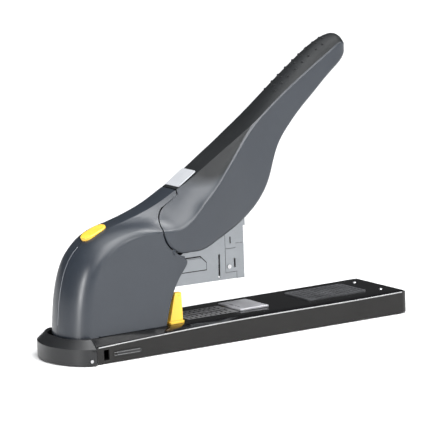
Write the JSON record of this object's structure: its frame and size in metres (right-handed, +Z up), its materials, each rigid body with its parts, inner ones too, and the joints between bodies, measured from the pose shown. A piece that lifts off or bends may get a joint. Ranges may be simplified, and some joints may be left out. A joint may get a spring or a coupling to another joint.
{
  "type": "stapler",
  "caption": "Long-reach heavy-duty office stapler: flat base with anvil and sliding paper guide, moulded housing, tilting steel magazine arm and a long press-down handle.",
  "frame": {"origin": "centre of the base footprint, on the surface the stapler stands on", "axes": "+X along the base towards its front end, +Y to the left, +Z up"},
  "size_m": [0.2918, 0.07, 0.2103],
  "materials": {
    "base_paint": "matte textured paint",
    "gloss_black": "gloss",
    "dark_plastic": "satin",
    "bright_steel": "polished",
    "zinc_steel": "zinc plated",
    "rubber": "matte",
    "grip_black": "satin",
    "brushed_steel": "brushed",
    "scale_grey": "satin",
    "grey_shell": "satin",
    "spring_steel": "oiled",
    "satin_black": "satin",
    "silver_plate": "polished",
    "nickel_sheet": "nickel plated",
    "yellow_plastic": "gloss"
  },
  "bodies": {
    "base": {"base_channel": "base_paint", "base_cover": "gloss_black", "rear_cap": "dark_plastic", "cap_rivets": "bright_steel", "base_plate": "base_paint", "base_screws": "zinc_steel", "rubber_feet": "rubber", "front_rivets": "bright_steel", "grip_pad": "grip_black", "anvil_plate": "brushed_steel", "scale_plate": "scale_grey", "housing_left": "grey_shell", "housing_right": "grey_shell", "housing_screws": "zinc_steel", "pivot_bracket": "zinc_steel", "bracket_bolts": "zinc_steel", "handle_pivot_pin": "bright_steel", "arm_pivot_pin": "bright_steel", "pivot_clips": "spring_steel", "arm_return_spring": "spring_steel", "handle_spring": "spring_steel", "button_spring": "spring_steel"},
    "handle": {"handle_top_cover": "satin_black", "handle_side_left": "grey_shell", "handle_side_right": "grey_shell", "badge_plate": "silver_plate", "handle_lever": "zinc_steel", "roller_pin": "bright_steel"},
    "roller": {"press_roller": "bright_steel"},
    "arm": {"arm_channel": "nickel_sheet", "arm_side_tabs": "nickel_sheet", "tab_rivets": "bright_steel", "spring_bridge": "nickel_sheet", "head_front": "nickel_sheet", "magazine_catch": "spring_steel", "driver_spring": "spring_steel"},
    "driver": {"driver_carrier": "nickel_sheet", "driver_blade": "bright_steel"},
    "magazine": {"magazine_rail": "zinc_steel", "magazine_nose": "nickel_sheet", "nose_rivets": "bright_steel", "staple_strip": "bright_steel", "pusher_rod": "bright_steel", "pusher_spring": "spring_steel"},
    "pusher": {"staple_pusher": "zinc_steel"},
    "button": {"release_button": "yellow_plastic"},
    "guide": {"paper_guide": "yellow_plastic"},
    "latch": {"side_latch": "dark_plastic"}
  },
  "joints": [
    {"name": "handle_hinge", "type": "hinge", "parent": "base", "child": "handle", "pos_m": [-0.039, 0, 0.086], "axis": [0, -1, 0], "range_deg": [-36, 0], "stiffness_Nm_per_rad": 0.9, "springref_deg": 51.57},
    {"name": "roller_spin", "type": "hinge", "parent": "handle", "child": "roller", "pos_m": [0.0125, 0, 0.1045], "axis": [0, 1, 0], "continuous": true},
    {"name": "arm_hinge", "type": "hinge", "parent": "base", "child": "arm", "pos_m": [-0.11, 0, 0.051], "axis": [0, -1, 0], "range_deg": [-9, 0], "deforming": ["arm_return_spring"]},
    {"name": "driver_slide", "type": "slide", "parent": "arm", "child": "driver", "axis": [0, 0, 1], "range_m": [-0.014, 0], "deforming": ["driver_spring"]},
    {"name": "magazine_slide", "type": "slide", "parent": "arm", "child": "magazine", "axis": [1, 0, 0], "range_m": [0, 0.07]},
    {"name": "pusher_slide", "type": "slide", "parent": "magazine", "child": "pusher", "axis": [1, 0, 0], "range_m": [-0.03, 0], "stiffness_N_per_m": 40, "springref_m": 0.02, "deforming": ["pusher_spring"]},
    {"name": "button_press", "type": "slide", "parent": "base", "child": "button", "axis": [0.3795, 0, -0.9252], "range_m": [0, 0.0025], "stiffness_N_per_m": 800, "springref_m": -0.002, "deforming": ["button_spring"]},
    {"name": "guide_slide", "type": "slide", "parent": "base", "child": "guide", "axis": [1, 0, 0], "range_m": [0, 0.044]},
    {"name": "latch_slide", "type": "slide", "parent": "base", "child": "latch", "axis": [1, 0, 0], "range_m": [-0.004, 0]}
  ],
  "couplings": [
    {"joint": "arm_hinge", "follows": "handle_hinge", "ratio": 0.25},
    {"joint": "driver_slide", "follows": "handle_hinge", "m_per_rad": 0.022282}
  ]
}
